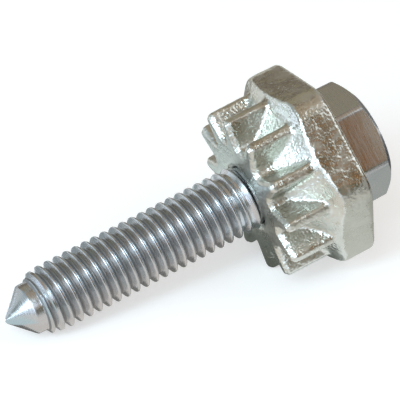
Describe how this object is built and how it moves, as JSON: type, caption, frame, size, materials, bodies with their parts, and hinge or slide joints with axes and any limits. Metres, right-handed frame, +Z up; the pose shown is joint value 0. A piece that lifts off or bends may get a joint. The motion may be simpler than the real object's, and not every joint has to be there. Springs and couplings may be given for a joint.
{
  "type": "alternator tension bolt",
  "caption": "Hexagon-head locking bolt with a pointed, threaded shank that carries a captive toothed tensioning pinion with its own larger spanner hexagon.",
  "frame": {"origin": "middle of the bounding box, on the surface that the bolt lies on", "axes": "+Z up; the bolt lies as it comes to rest, on the start of its thread, one corner of the big hexagon and one tooth. Its axis lies in the XZ plane's direction, tip towards -X and lower, head towards +X"},
  "size_m": [0.0484, 0.0236, 0.0239],
  "materials": {
    "zinc_plated_bolt_steel": "bright blue-passivated zinc on a rolled and headed steel bolt",
    "zinc_plated_forged_steel": "bright zinc over a slightly lumpy forged surface"
  },
  "bodies": {
    "bolt": {"locking_bolt": "zinc_plated_bolt_steel"},
    "pinion": {"tensioning_pinion": "zinc_plated_forged_steel"}
  },
  "joints": [
    {"name": "pinion_spin", "type": "hinge", "parent": "bolt", "child": "pinion", "pos_m": [0.01234, 0, 0.01123], "axis": [-0.9748, 0, -0.2229], "continuous": true}
  ]
}
